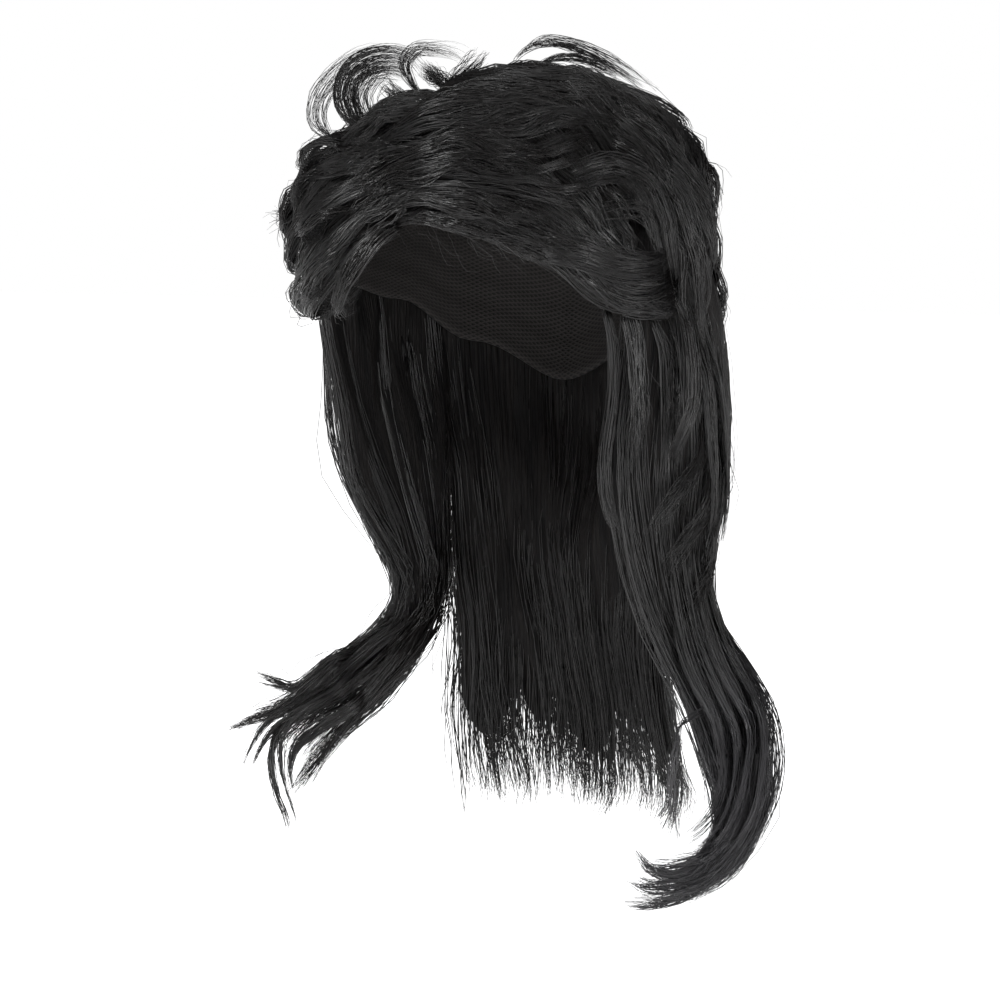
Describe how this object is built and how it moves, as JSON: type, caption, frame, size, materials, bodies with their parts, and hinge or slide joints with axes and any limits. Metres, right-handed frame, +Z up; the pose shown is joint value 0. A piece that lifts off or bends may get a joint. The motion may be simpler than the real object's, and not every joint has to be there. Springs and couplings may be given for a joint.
{
  "type": "mullet wig",
  "caption": "Layered mullet wig: hollow head cap with short under hair, feathered wavy crown, flicked temple curls and long side and back lengths with curled ends.",
  "frame": {"origin": "inside top of the cap, where the crown of a head bears", "axes": "+Z up, the face looks along -Y, the wearer's left is +X"},
  "size_m": [0.2872, 0.245, 0.4481],
  "materials": {
    "cap_net": "black elastic net with sewn bands",
    "under_hair": "dense matt black fibre",
    "hair": "soft shine black synthetic fibre"
  },
  "bodies": {
    "root": {"wig_cap": "cap_net", "under_hair": "under_hair", "loop_right": "hair", "loop_left": "hair", "fringe_left": "hair", "right_temple": "hair", "crown_left": "hair", "crown_right": "hair", "crown_back": "hair", "left_lengths": "hair", "right_lengths": "hair", "back_lengths": "hair"}
  },
  "joints": []
}
